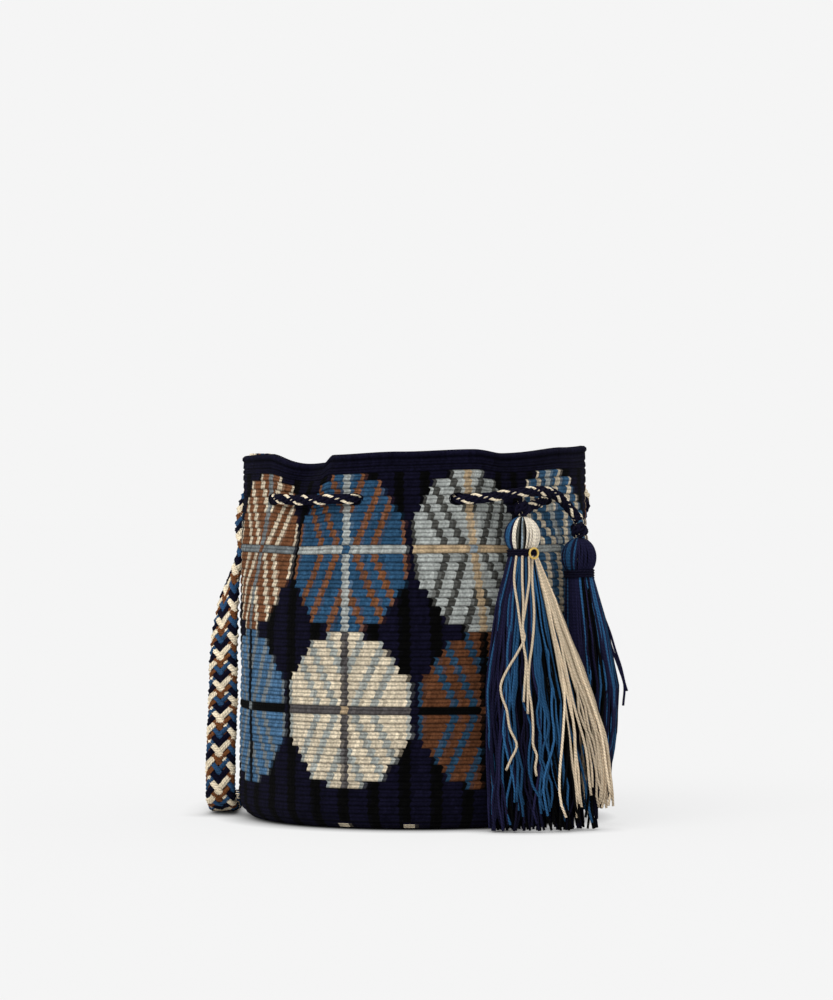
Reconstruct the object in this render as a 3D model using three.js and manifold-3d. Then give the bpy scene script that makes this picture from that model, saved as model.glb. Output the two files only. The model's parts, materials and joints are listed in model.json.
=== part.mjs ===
// A crocheted drawstring shoulder bag with a braided strap, a drawstring and two yarn tassels.
// Millimetres, +Z up. The origin is the middle of the underside of the base. The front faces -Y.
// Angles round the bag are in degrees from the front, positive towards +X.
import * as THREE from 'three';
import { mergeVertices } from 'three/addons/utils/BufferGeometryUtils.js';
import Module from 'manifold-3d';

// Driving dimensions of the crocheted body
const bodyRadius = 108.5;
const bodyHeight = 220.4;
const rimRollHeight = 4.6;
const wallThickness = 4;
const baseThickness = 5;
const baseCorner = 14;
const topDrawnIn = 3.2;
const ribDepth = 0.7;
const rimRoll = 0.9;
const clearance = 0.35;
const rimTop = bodyHeight + rimRollHeight;

// Stitches and rounds of the crochet, and the pattern worked into them
const roundCount = 45;
const medallionCount = 8;
const stitchesPerMedallion = 36;
const medallionHalfWidths = [17, 17, 17, 17, 16, 14, 13, 11, 10, 5];
const medallionColumnEdges = [-17, -10.5, -5, -1, 1, 5, 10.5, 17];
const lowerCrossRound = 14;
const upperCrossRound = 33;
const stripePeriod = 8;
const stripeWidth = 3;
const firstStripe = 4;
const crossHalfWidth = 1;
const upperCrossLift = 2.7;

// The mouth, as it stands: how far the rim rises or sinks round it, and the two folds pushed into it
const rimRises = [
  [-180, -11], [-150, -11.5], [-120, -8], [-90, -1.7], [-57, -1.2], [-37, -7.5], [-28, -2.7],
  [-5, 0], [20, 1.6], [31, -0.7], [60, 3], [87, 4.5], [115, -1], [150, -10], [180, -11],
];
const rimSettlesFromRound = 20;
const folds = [
  { angle: -36, depth: 9, width: 7, slant: 0.35 },
  { angle: 32, depth: 3.5, width: 7, slant: 0.1 },
];
const foldsFrom = 0.84 * bodyHeight;
// Degrees that the upper rounds are drawn sideways by the drawstring, by place in the pattern
const drawnSideways = [
  [-180, 2], [-157.5, 0], [-112.5, 6], [-67.5, 12], [-22.5, 0], [22.5, -5], [67.5, -18], [112.5, -12],
  [157.5, -6], [180, 2],
];
const drawnFromHeight = 0.5 * bodyHeight;
const drawnToHeight = 0.93 * bodyHeight;

// Eyelets and drawstring
const eyeletAngles = [14, -20, -54, -106, -157.5, 151.5, 100.4, 48];
const eyeletBelowRim = 28.4;
const eyeletWidth = 19.5;
const eyeletTall = 9.2;
const drawstringDiameter = 6.2;
const cordClearance = 0.9;
const eyeletHeight = rimTop - eyeletBelowRim;

// Strap
const strapWidth = 20;
const strapThickness = 7.4;
const strapAngle = 118;

// Tassels
const headRadius = 11.3;
const neckRadius = 7.6;
const knotRadius = 5;
const bindingThickness = 2.2;
const hankGap = 0.35;
const fluteDepth = 0.7;
const floorGap = 0.3;
const ringRadius = 3;
const ringThickness = 1.3;

// Where each tassel hangs, how wide its skirt gets, how far it opens by the share of the way down
// from the neck, and the colours round it between angles
const frontHang = {
  neckAngle: 32.3, neckOut: 10.9, belowEyelets: 32.1, footAngle: 36, footOut: 21.5,
  facing: 32, skirtAlong: 33, skirtOut: 14.5, skirtTurn: -14,
  opening: [[0, 0], [0.17, 0.4], [0.35, 0.64], [0.5, 0.84], [0.65, 0.94], [1, 1]],
};
const sideHang = {
  neckAngle: 54.4, neckOut: 12.9, belowEyelets: 45.1, footAngle: 62, footOut: 17.5,
  facing: 54, skirtAlong: 22, skirtOut: 14, skirtTurn: 4,
  opening: [[0, 0], [0.2, 0.5], [0.45, 0.92], [0.65, 1], [1, 0.55]],
};
const frontHanks = { navy: [90, 290], blue: [-70, -18], cream: [-18, 90] };
const sideHanks = { navy: [-40, 270], blue: [-90, -40] };

// The drawstring's loose end on its way to the side tassel: angle, out from the wall, above the eyelets
const looseEnd = [
  [52.9, 10, -7.6], [47.6, 7.9, 1.4], [41, 8.8, 4.4], [31.6, 11.8, 3.9], [25.6, 7.4, 1.9], [20.1, 3.8, 0.4],
];

// The strap where it hangs and lies free, as shares of the body's radius and the eyelets' height
const strapHanging = [
  [-1.046, 0.258, 0.753, 0.1, -1], [-1.073, 0.212, 0.682, 0.5, -0.86], [-1.097, 0.129, 0.534, 0.9, -0.43],
  [-1.101, 0.074, 0.356, 1, -0.1], [-1.111, 0.037, 0.203, 1, 0], [-1.113, 0.032, 0.122, 1, 0],
  [-1.112, 0.06, 0.063, 1, 0], [-1.107, 0.165, 0.031, 1, 0],
];
const strapLying = [
  [-1.103, 0.3, 0, 1], [-1.097, 0.415, 0, 1], [-1.078, 0.783, 0.1, 1], [-0.986, 1.198, 0.35, 0.94],
  [-0.756, 1.585, 0.66, 0.75], [-0.387, 1.843, 0.92, 0.4], [0.046, 1.926, 1, 0],
  [0.442, 1.862, 0.9, -0.44], [0.7, 1.641, 0.42, -0.9], [0.719, 1.382, -0.26, -0.96],
];
const strapUpTheBack = [
  [152.2, 32.9, 0.028], [153, 9.5, 0.05], [153, 4.9, 0.122], [149, 4.8, 0.356], [140, 4.8, 0.61],
  [128, 5.2, 0.839],
];

// Finishes
const navy = '#1b1b32';
const black = '#121214';
const blue = '#3a6996';
const brown = '#82502f';
const cream = '#d7c3a5';
const lightGrey = '#bec3c3';
const steelGrey = '#7d8a90';
const brass = '#bea046';

const { Manifold, Mesh: ManifoldMesh } = await loadManifold();

async function loadManifold() {
  const wasm = await Module();
  wasm.setup();
  return wasm;
}

// Small helpers

const radians = THREE.MathUtils.degToRad;

function around(angle, radius, z) {
  return new THREE.Vector3(radius * Math.sin(radians(angle)), -radius * Math.cos(radians(angle)), z);
}

function beside(angle, out, z) {
  return around(angle, bodyRadius + out, z);
}

function smoothStep(value, low, high) {
  return THREE.MathUtils.smoothstep(value, low, high);
}

// The value at x of a table of [x, value] rows, eased from row to row.
function eased(table, x) {
  const after = table.findIndex(([key]) => key >= x);
  if (after <= 0) {
    return after === 0 ? table[0][1] : table.at(-1)[1];
  }
  const [x0, y0] = table[after - 1];
  const [x1, y1] = table[after];
  return THREE.MathUtils.lerp(y0, y1, smoothStep(x, x0, x1));
}

// The value at x of a table of [x, value] rows, straight from row to row.
function between(table, x) {
  const after = Math.max(1, table.findIndex(([key]) => key >= x));
  const [x0, y0] = table[after - 1];
  const [x1, y1] = table[after];
  return THREE.MathUtils.mapLinear(x, x0, x1, y0, y1);
}

function wrapped(angle) {
  return THREE.MathUtils.euclideanModulo(angle + 180, 360) - 180;
}

// A closed solid through rings of equally many points, its two ends closed to their middles.
function loft(rings) {
  const count = rings[0].length;
  const vertices = rings.flat();
  const faces = [];
  for (let level = 0; level + 1 < rings.length; level++) {
    for (let i = 0; i < count; i++) {
      const a = level * count + i;
      const b = level * count + (i + 1) % count;
      faces.push(a, b, b + count, a, b + count, a + count);
    }
  }
  for (const [ring, first, flipped] of [[rings[0], 0, true], [rings.at(-1), vertices.length - count, false]]) {
    const middle = vertices.length;
    vertices.push(ring.reduce((sum, p) => sum.add(p), new THREE.Vector3()).divideScalar(count));
    for (let i = 0; i < count; i++) {
      const a = first + i;
      const b = first + (i + 1) % count;
      faces.push(middle, flipped ? b : a, flipped ? a : b);
    }
  }
  const geometry = new THREE.BufferGeometry().setFromPoints(vertices);
  geometry.setIndex(faces);
  geometry.computeVertexNormals();
  return geometry;
}

function toManifold(geometry) {
  const bare = new THREE.BufferGeometry();
  bare.setAttribute('position', geometry.getAttribute('position').clone());
  bare.setIndex(geometry.getIndex() && geometry.getIndex().clone());
  const merged = mergeVertices(bare, 1e-4);
  const vertProperties = new Float32Array(merged.getAttribute('position').array);
  const triVerts = new Uint32Array(merged.getIndex().array);
  return new Manifold(new ManifoldMesh({ numProp: 3, vertProperties, triVerts }));
}

function fromManifold(solid) {
  const { vertProperties, triVerts } = solid.getMesh();
  const geometry = new THREE.BufferGeometry();
  geometry.setAttribute('position', new THREE.BufferAttribute(new Float32Array(vertProperties), 3));
  geometry.setIndex(new THREE.BufferAttribute(new Uint32Array(triVerts), 1));
  return geometry;
}

function piece(name, geometry, color, roughness = 0.95, metalness = 0) {
  const material = new THREE.MeshStandardMaterial({ color, roughness, metalness });
  const mesh = new THREE.Mesh(geometry, material);
  mesh.name = name;
  return mesh;
}

// Crocheted body

const stitchAngle = 360 / (medallionCount * stitchesPerMedallion);

// How high the lower edge of a round lies, at an angle round the bag.
function roundHeight(round, angle) {
  const level = bodyHeight * round / roundCount;
  const inUpper = THREE.MathUtils.clamp((round - lowerCrossRound - 10) / 19, 0, 1);
  const lift = upperCrossLift * Math.sin(Math.PI * inUpper);
  const share = Math.max(0, (round - rimSettlesFromRound) / (roundCount - rimSettlesFromRound));
  return level + lift + eased(rimRises, wrapped(angle)) * share ** 1.5;
}

function wallRadius(angle, z) {
  const corner = Math.min(z, baseCorner);
  const rounding = baseCorner - Math.sqrt(baseCorner ** 2 - (baseCorner - corner) ** 2);
  const drawn = topDrawnIn * smoothStep(z, 0.55 * bodyHeight, bodyHeight);
  let radius = bodyRadius - rounding - drawn;
  for (const fold of folds) {
    const away = wrapped(angle - fold.angle + fold.slant * (bodyHeight - z)) / fold.width;
    radius -= fold.depth * Math.exp(-(away ** 2)) * smoothStep(z, foldsFrom, bodyHeight);
  }
  return radius;
}

// Where a place in the pattern lies round the bag, and the other way about.
function drawnBy(patternAngle, z) {
  return eased(drawnSideways, wrapped(patternAngle)) * smoothStep(z, drawnFromHeight, drawnToHeight);
}

function placeInPattern(angle, z) {
  let patternAngle = angle;
  for (let i = 0; i < 6; i++) {
    patternAngle = angle - drawnBy(patternAngle, z);
  }
  return patternAngle;
}

function patternColumns() {
  const columns = [];
  for (let m = 0; m < medallionCount; m++) {
    const centre = (m + 0.5) * 360 / medallionCount - 180;
    columns.push(...medallionColumnEdges.map((stitch) => centre + stitch * stitchAngle));
  }
  return columns;
}

function bodyGeometry() {
  const columns = patternColumns();
  const ring = (height, inset) => columns.map((column) => {
    const z = height(column);
    const angle = column + drawnBy(column, z);
    return around(angle, wallRadius(angle, z) - inset, z);
  });
  const rings = [];
  for (let round = 0; round <= roundCount; round++) {
    const inset = round === 0 ? 0 : (round % 2 ? -ribDepth / 2 : ribDepth / 2);
    rings.push(ring((angle) => roundHeight(round, angle), inset));
  }
  const rim = (angle) => roundHeight(roundCount, angle);
  rings.push(ring((angle) => rim(angle) + rimRollHeight / 2, -rimRoll));
  rings.push(ring((angle) => rim(angle) + rimRollHeight, wallThickness / 2));
  rings.push(ring((angle) => rim(angle) + rimRollHeight / 2, wallThickness + rimRoll));
  const insideRounds = [44, 41, 38, 32, 26, 20, 12, 5];
  for (const round of insideRounds) {
    rings.push(ring((angle) => roundHeight(round, angle), wallThickness));
  }
  rings.push(ring(() => baseThickness + 5, wallThickness + 1));
  rings.push(ring(() => baseThickness, wallThickness + 5));
  return loft(rings);
}

// A hole through the wall at an eyelet, an oval with its long way round the bag.
function eyeletCutter(angle) {
  const reach = [bodyRadius - topDrawnIn - 14, bodyRadius + 6];
  const sides = 12;
  const middle = around(angle, 1, 0);
  const along = around(angle + 90, 1, 0);
  const rings = reach.map((radius) => Array.from({ length: sides }, (_, i) => {
    const turn = 2 * Math.PI * i / sides;
    return middle.clone().multiplyScalar(radius)
      .addScaledVector(along, eyeletWidth / 2 * Math.cos(turn))
      .add(new THREE.Vector3(0, 0, eyeletHeight + eyeletTall / 2 * Math.sin(turn)));
  }));
  return loft(rings);
}

// Ground, ray and cross colours of the medallions, by place round the bag from the back
const upperMedallions = [
  [blue, lightGrey], [lightGrey, cream], [brown, steelGrey], [blue, lightGrey],
  [lightGrey, cream], [blue, lightGrey], [brown, steelGrey], [lightGrey, cream],
];
const lowerMedallions = [
  [cream, steelGrey], [brown, black], [blue, black], [cream, steelGrey],
  [brown, black], [blue, black], [cream, steelGrey], [brown, black],
];

function patternColour(angle, z) {
  const pattern = wrapped(placeInPattern(angle, z));
  let round = 0;
  while (round + 1 < roundCount && roundHeight(round + 1, angle) < z) {
    round++;
  }
  const column = (pattern + 180) / stitchAngle;
  const medallion = Math.floor(column / stitchesPerMedallion) % medallionCount;
  const centre = (medallion + 0.5) * 360 / medallionCount - 180;
  const stitch = (pattern - centre) / stitchAngle;
  for (const [crossRound, colours] of [[lowerCrossRound, lowerMedallions], [upperCrossRound, upperMedallions]]) {
    const fromCross = Math.abs(round - crossRound);
    if (fromCross < medallionHalfWidths.length && Math.abs(stitch) < medallionHalfWidths[fromCross]) {
      const [ground, cross] = colours[medallion];
      return fromCross === 0 || Math.abs(stitch) < crossHalfWidth ? cross : ground;
    }
  }
  const striped = THREE.MathUtils.euclideanModulo(column - firstStripe, stripePeriod) < stripeWidth;
  return striped && round < roundCount - 2 ? black : navy;
}

// Colours each face by the stitches that it covers. The inside and the base stay navy.
function paint(geometry) {
  const plain = geometry.toNonIndexed();
  const position = plain.getAttribute('position');
  const colours = [];
  const middle = new THREE.Vector3();
  const corner = new THREE.Vector3();
  for (let i = 0; i < position.count; i += 3) {
    middle.set(0, 0, 0);
    for (let k = 0; k < 3; k++) {
      middle.add(corner.fromBufferAttribute(position, i + k));
    }
    middle.divideScalar(3);
    const angle = THREE.MathUtils.radToDeg(Math.atan2(middle.x, -middle.y));
    const radius = Math.hypot(middle.x, middle.y);
    const outside = radius > wallRadius(angle, middle.z) - wallThickness / 2 && middle.z > 1;
    const colour = new THREE.Color(outside ? patternColour(angle, middle.z) : navy);
    for (let k = 0; k < 3; k++) {
      colours.push(colour.r, colour.g, colour.b);
    }
  }
  plain.setAttribute('color', new THREE.Float32BufferAttribute(colours, 3));
  plain.computeVertexNormals();
  return plain;
}

function crochetBody() {
  let solid = toManifold(bodyGeometry());
  for (const angle of eyeletAngles) {
    solid = solid.subtract(toManifold(eyeletCutter(angle)));
  }
  const body = piece('crochet_body', paint(fromManifold(solid)), '#ffffff');
  body.material.vertexColors = true;
  return body;
}

// Drawstring

const knotRise = 0.9 * headRadius + headRadius + 0.9 * knotRadius + clearance;
const frontTassel = hung(frontHang);
const sideTassel = hung(sideHang);

function hung(hang) {
  const neck = beside(hang.neckAngle, hang.neckOut, eyeletHeight - hang.belowEyelets);
  return {
    ...hang,
    neck,
    head: neck.clone().add(new THREE.Vector3(0, 0, 0.9 * headRadius)),
    knot: neck.clone().add(new THREE.Vector3(0, 0, knotRise)),
    foot: beside(hang.footAngle, hang.footOut, floorGap),
  };
}

// It comes out of its first eyelet to the side tassel, and out of its last one to the front tassel.
function drawstringRoute() {
  const off = cordClearance + drawstringDiameter / 2;
  const outside = (angle) => wallRadius(angle, eyeletHeight) + ribDepth / 2 + off;
  const inside = (angle) => wallRadius(angle, eyeletHeight) - wallThickness - off;
  const swing = 11.4;
  const lean = 2.6;
  const points = [
    sideTassel.knot.clone().add(new THREE.Vector3(0, 0, knotRadius + 3 * clearance)),
    ...looseEnd.map(([angle, out, above]) => beside(angle, out, eyeletHeight + above)),
  ];
  eyeletAngles.forEach((angle, i) => {
    const step = THREE.MathUtils.radToDeg(1 / bodyRadius);
    const goesIn = i % 2 === 0;
    const middle = (outside(angle) + inside(angle)) / 2;
    const before = goesIn ? outside : inside;
    const after = goesIn ? inside : outside;
    const sign = goesIn ? 1 : -1;
    const isFirst = i === 0;
    const isLast = i === eyeletAngles.length - 1;
    if (!isFirst) {
      points.push(around(angle + swing * step, before(angle + swing * step), eyeletHeight));
    }
    points.push(around(angle + lean * step, middle + sign * lean, eyeletHeight));
    points.push(around(angle - lean * step, middle - sign * lean, eyeletHeight));
    if (!isLast) {
      points.push(around(angle - swing * step, after(angle - swing * step), eyeletHeight));
      const span = THREE.MathUtils.euclideanModulo(angle - eyeletAngles[i + 1], 360);
      for (const share of [1 / 3, 1 / 2, 2 / 3]) {
        points.push(around(angle - span * share, after(angle - span * share), eyeletHeight - 0.6));
      }
    }
  });
  points.push(beside(41.5, 2.7, eyeletHeight - 2.6));
  points.push(beside(37, 4.9, eyeletHeight - 4.6));
  points.push(frontTassel.knot.clone().add(around(157, 1.1 * knotRadius + clearance, 0)));
  return points;
}

function roundSection(radius, sides) {
  const corners = Array.from({ length: sides }, (_, i) => {
    const turn = 2 * Math.PI * i / sides;
    return new THREE.Vector2(radius * Math.cos(turn), radius * Math.sin(turn));
  });
  return new THREE.Shape(corners);
}

function drawstring() {
  const extrudePath = new THREE.CatmullRomCurve3(drawstringRoute(), false, 'centripetal');
  const steps = 80;
  const section = roundSection(drawstringDiameter / 2, 8);
  const geometry = new THREE.ExtrudeGeometry(section, { steps, extrudePath, bevelEnabled: false });
  return piece('drawstring', geometry, navy);
}

// Strap

// Rows of [centre, direction of its width]. It is sewn outside the rim at both ends.
function strapRoute() {
  const flatAt = (angle, out, z) => [beside(angle, out, z), around(angle + 90, 1, 0)];
  const across = (x, y) => new THREE.Vector3(x, y, 0);
  const onFloor = floorGap + strapThickness / 2;
  const sewn = strapThickness / 2 - topDrawnIn + ribDepth + clearance + rimRoll;
  const overCord = sewn + drawstringDiameter + 1.2;
  return [
    flatAt(-strapAngle, sewn, rimTop),
    flatAt(-strapAngle, sewn, rimTop - 11),
    flatAt(-strapAngle, overCord, eyeletHeight),
    flatAt(3 - strapAngle, overCord, eyeletHeight - 14.6),
    flatAt(9 - strapAngle, 4.6, eyeletHeight - 31.6),
    ...strapHanging.map(([x, y, z, acrossX, acrossY]) => [
      new THREE.Vector3(x * bodyRadius, y * bodyRadius, z * eyeletHeight), across(acrossX, acrossY),
    ]),
    ...strapLying.map(([x, y, headingX, headingY]) => [
      new THREE.Vector3(x * bodyRadius, y * bodyRadius, onFloor), across(headingY, -headingX),
    ]),
    ...strapUpTheBack.map(([angle, out, z]) => flatAt(angle, out, z * eyeletHeight)),
    flatAt(2 + strapAngle, overCord - 1, eyeletHeight - 12.6),
    flatAt(strapAngle, overCord, eyeletHeight),
    flatAt(strapAngle, sewn, rimTop - 11),
    flatAt(strapAngle, sewn, rimTop - 1),
  ];
}

// A flat cord: an oval section swept along the route, turned to the given width directions.
function strap() {
  const route = strapRoute();
  const path = new THREE.CatmullRomCurve3(route.map(([centre]) => centre), false, 'centripetal');
  const turns = new THREE.CatmullRomCurve3(route.map(([, across]) => across), false, 'catmullrom');
  const stepsPerRow = 3;
  const sides = 8;
  const steps = (route.length - 1) * stepsPerRow;
  const rings = [];
  for (let i = 0; i <= steps; i++) {
    const centre = path.getPoint(i / steps);
    const tangent = path.getTangent(i / steps);
    const across = turns.getPoint(i / steps);
    across.addScaledVector(tangent, -across.dot(tangent)).normalize();
    const up = new THREE.Vector3().crossVectors(tangent, across);
    rings.push(Array.from({ length: sides }, (_, k) => {
      const turn = 2 * Math.PI * (k + 0.5) / sides;
      const squared = 1 / Math.cos(Math.PI / sides);
      return centre.clone()
        .addScaledVector(across, strapWidth / 2 * Math.cos(turn) * squared)
        .addScaledVector(up, strapThickness / 2 * Math.sin(turn) * squared);
    }));
  }
  return piece('strap', loft(rings), cream);
}

// Tassels

// A bundle of yarn doubled over at the top: a round head, a bound neck and a skirt that opens out.
// Each hank is the part of it of one colour, between two angles round its middle.
function hank(name, tassel, [from, to], color) {
  const levels = tasselLevels(tassel);
  const arcPoints = 13;
  const rings = levels.map(({ centre, along, out, turn }) => {
    const alongWay = around(tassel.facing + 90 + turn, 1, 0);
    const outWay = around(tassel.facing + turn, 1, 0);
    const edge = [];
    const place = (angle, share) => {
      const x = along * Math.sin(radians(angle)) * share;
      const y = out * Math.cos(radians(angle)) * share;
      return centre.clone().addScaledVector(alongWay, x).addScaledVector(outWay, y);
    };
    for (let i = 0; i < arcPoints; i++) {
      const angle = THREE.MathUtils.lerp(from, to, i / (arcPoints - 1));
      edge.push(place(angle, 1 - (i % 2 ? 0 : fluteDepth / along)));
    }
    const inward = place((from + to) / 2, 1).sub(centre).normalize();
    const apart = hankGap / Math.max(0.4, Math.sin(radians(Math.min(to - from, 180) / 2)));
    edge.push(centre.clone());
    return edge.map((p) => p.addScaledVector(inward, apart));
  });
  return piece(name, loft(rings), color);
}

// Levels from the foot of the skirt up to the crown of the head.
function tasselLevels(tassel) {
  const { neck, head, foot, skirtAlong, skirtOut, skirtTurn, opening } = tassel;
  const levels = [];
  const skirtSteps = 7;
  for (let i = 0; i <= skirtSteps; i++) {
    const share = i / skirtSteps;
    const open = between(opening, 1 - share);
    levels.push({
      centre: new THREE.Vector3().lerpVectors(foot, neck, share),
      along: neckRadius + (skirtAlong - neckRadius) * open,
      out: neckRadius + (skirtOut - neckRadius) * open,
      turn: skirtTurn * open,
    });
  }
  const crown = 8;
  for (let i = 1; i <= crown; i++) {
    const rise = THREE.MathUtils.lerp(-0.72, 0.985, i / crown);
    const radius = Math.max(headRadius * Math.sqrt(1 - rise ** 2), 1.6);
    const centre = head.clone().add(new THREE.Vector3(0, 0, rise * headRadius));
    levels.push({ centre, along: radius, out: radius, turn: 0 });
  }
  return levels;
}

function ringAround(name, centre, radius, thickness, color, roughness, metalness) {
  const sides = 8;
  const geometry = new THREE.TorusGeometry(radius, thickness / 2, sides, 24);
  const mesh = piece(name, geometry, color, roughness, metalness);
  mesh.position.copy(centre);
  return mesh;
}

// The yarn wound round the neck, close outside the hanks.
const bindingRadius = neckRadius + hankGap * 3 + clearance + bindingThickness / 2;

function binding(name, tassel) {
  const mesh = ringAround(name, tassel.neck, bindingRadius, bindingThickness, navy);
  mesh.scale.z = 1.8;
  return mesh;
}

// The knot of the drawstring on top of a tassel: a lumpy ball with a flat side to the cord's end.
function knot(name, tassel) {
  const geometry = new THREE.SphereGeometry(knotRadius, 12, 8);
  const position = geometry.getAttribute('position');
  const p = new THREE.Vector3();
  for (let i = 0; i < position.count; i++) {
    p.fromBufferAttribute(position, i);
    const lump = 1 + 0.08 * Math.sin(3 * Math.atan2(p.y, p.x)) * (1 - (p.z / knotRadius) ** 2);
    position.setXYZ(i, p.x * lump, p.y * lump, p.z * 0.9);
  }
  const mesh = piece(name, geometry, navy);
  mesh.position.copy(tassel.knot);
  return mesh;
}

// A small brass ring that hangs close in front of the binding of the front tassel.
function charm() {
  const out = bindingRadius + bindingThickness / 2 + clearance + ringThickness / 2;
  const centre = frontTassel.neck.clone().add(around(frontTassel.facing, out, 0));
  const mesh = ringAround('brass_ring', centre, ringRadius, ringThickness, brass, 0.3, 1);
  mesh.rotation.set(radians(90), 0, radians(frontTassel.facing), 'ZXY');
  return mesh;
}

const bag = new THREE.Group();
bag.add(
  crochetBody(),
  drawstring(),
  strap(),
  hank('front_tassel_navy', frontTassel, frontHanks.navy, navy),
  hank('front_tassel_blue', frontTassel, frontHanks.blue, blue),
  hank('front_tassel_cream', frontTassel, frontHanks.cream, cream),
  binding('front_tassel_binding', frontTassel),
  knot('front_tassel_knot', frontTassel),
  charm(),
  hank('side_tassel_navy', sideTassel, sideHanks.navy, navy),
  hank('side_tassel_blue', sideTassel, sideHanks.blue, blue),
  binding('side_tassel_binding', sideTassel),
  knot('side_tassel_knot', sideTassel),
);

export default bag;
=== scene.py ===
"""A crocheted drawstring shoulder bag: body, braided strap, drawstring and two yarn tassels.

Metres, +Z up, front towards -Y. Shapes are worked out in millimetres and scaled where a mesh is made.
Angles round the bag are in degrees from the front, positive towards +X.
"""

import json
import math

import bpy
import numpy as np
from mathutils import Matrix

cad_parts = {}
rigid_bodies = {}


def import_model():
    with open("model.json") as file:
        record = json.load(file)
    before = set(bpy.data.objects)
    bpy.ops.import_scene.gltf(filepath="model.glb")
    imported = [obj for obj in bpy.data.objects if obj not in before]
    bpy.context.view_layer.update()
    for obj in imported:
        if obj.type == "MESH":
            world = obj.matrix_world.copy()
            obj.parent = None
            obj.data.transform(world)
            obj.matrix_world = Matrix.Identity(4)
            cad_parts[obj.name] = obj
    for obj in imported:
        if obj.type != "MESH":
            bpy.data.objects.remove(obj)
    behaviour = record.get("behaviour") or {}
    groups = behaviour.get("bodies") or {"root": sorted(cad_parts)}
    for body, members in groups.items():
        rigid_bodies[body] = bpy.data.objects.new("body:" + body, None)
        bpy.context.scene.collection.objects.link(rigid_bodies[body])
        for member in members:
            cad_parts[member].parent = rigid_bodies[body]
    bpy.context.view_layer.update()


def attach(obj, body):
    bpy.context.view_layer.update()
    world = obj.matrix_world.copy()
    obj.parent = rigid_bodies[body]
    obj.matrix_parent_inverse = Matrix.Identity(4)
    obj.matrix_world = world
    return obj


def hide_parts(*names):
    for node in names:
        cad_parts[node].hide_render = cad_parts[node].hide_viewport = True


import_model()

MM = 0.001
rng = np.random.default_rng(7)

# Crocheted body, nearly as the frame's solid has it: the rim's notch is drawn more sharply here
BODY_RADIUS = 108.5
BODY_HEIGHT = 220.4
RIM_ROLL_HEIGHT = 4.6
RIM_ROLL = 0.9
WALL = 4.0
BASE_THICKNESS = 5.0
BASE_CORNER = 14.0
TOP_DRAWN_IN = 3.2
ROUNDS = 45
STITCHES = 288
MEDALLIONS = 8
STITCHES_PER_MEDALLION = STITCHES // MEDALLIONS
HALF_WIDTHS = (17, 17, 17, 17, 16, 14, 13, 11, 10, 5)
LOWER_CROSS, UPPER_CROSS = 14, 33
# Slanting rays of a medallion: stitches from its upright line, less rounds from its level line
RAYS = (-5, -4, 1, 2, 6, 7)
# Upright rays at a medallion's sides: stitches from its upright line, and rounds that they reach
SIDE_RAYS_FROM, SIDE_RAYS_REACH = 16, 4
# How much higher than even rounds the upper rounds lie: round, millimetres
ROUND_LIFTS = np.array([(24, 0), (33.5, 2.7), (42.3, 2.6), (45, 0)], float)
STRIPE_PERIOD, STRIPE_WIDTH = 8, 3
FIRST_STRIPE = 4
# Dashes of the base's pattern that show at the foot of the wall, in stitches counted from the back
DASH_PERIOD, DASH_WIDTH, FIRST_DASH, DASHES = 18, 3, 123, 2
RIM_TOP = BODY_HEIGHT + RIM_ROLL_HEIGHT
RIM_RISES = np.array([
    (-180, -11), (-150, -11.5), (-120, -8), (-90, -1.7), (-57, -1.2), (-41, -7.3), (-34, -6.6), (-29, -2),
    (-5, 0), (20, 1.6), (31, -0.7), (60, 3), (87, 4.5), (115, -1), (150, -10), (180, -11),
], float)
RIM_SETTLES_FROM = 20
# Folds at the mouth: angle, depth, width in degrees, slant in degrees a millimetre
FOLDS = ((-36, 9, 7, 0.35), (32, 3.5, 7, 0.1))
FOLDS_FROM = 0.84 * BODY_HEIGHT
DRAWN_SIDEWAYS = np.array([
    (-180, 2), (-157.5, 0), (-112.5, 6), (-67.5, 12), (-22.5, 0), (22.5, -5), (67.5, -18), (112.5, -12),
    (157.5, -6), (180, 2),
], float)
DRAWN_FROM, DRAWN_TO = 0.5 * BODY_HEIGHT, 0.93 * BODY_HEIGHT

# Eyelets and drawstring
EYELET_ANGLES = (14, -20, -54, -106, -157.5, 151.5, 100.4, 48)
EYELET_HEIGHT = RIM_TOP - 28.4
EYELET_HALF = (5.3, 3.3)
CORD_DIAMETER = 6.2
CORD_CLEARANCE = 0.9
RIB_DEPTH = 0.7
CLEARANCE = 0.35

# Strap
STRAP_WIDTH = 20.0
STRAP_THICKNESS = 7.4
STRAP_ANGLE = 118
FLOOR_GAP = 0.3

# Tassels
HEAD_RADIUS = 11.3
NECK_RADIUS = 7.6
KNOT_RADIUS = 5.0

# Yarn colours, as sRGB
NAVY = (0.072, 0.068, 0.142)
BLACK = (0.026, 0.026, 0.027)
BLUE = (0.20, 0.35, 0.48)
FADED_BLUE = (0.24, 0.39, 0.52)
LIGHT_BLUE = (0.33, 0.485, 0.63)
MUTED_BLUE = (0.185, 0.315, 0.42)
BROWN = (0.525, 0.345, 0.235)
MUTED_BROWN = (0.42, 0.265, 0.175)
CREAM = (0.94, 0.88, 0.77)
LIGHT_GREY = (0.73, 0.75, 0.735)
STEEL = (0.51, 0.54, 0.55)
CHARCOAL = (0.315, 0.315, 0.30)
PALE_BLUE = (0.58, 0.65, 0.70)
TAN = (0.80, 0.70, 0.56)
FAINT_BLUE = (0.69, 0.71, 0.69)
DARK_GREY = (0.36, 0.345, 0.345)
# The tassels' cream yarn over the heads, and a darker copy of the same yarn for the skirts and their stray
# yarns: painted shade between the skirt's yarns
HEAD_CREAM = (0.89, 0.85, 0.78)
SHADED_SKIRT_CREAM = (0.785, 0.715, 0.615)
TASSEL_BLUE = (0.155, 0.31, 0.455)
TASSEL_NAVY = (0.105, 0.104, 0.2)
STRAP_BLUE = (0.19, 0.32, 0.46)
STRAP_BROWN = (0.46, 0.285, 0.17)
CORD_NAVY = (0.065, 0.062, 0.125)

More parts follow.
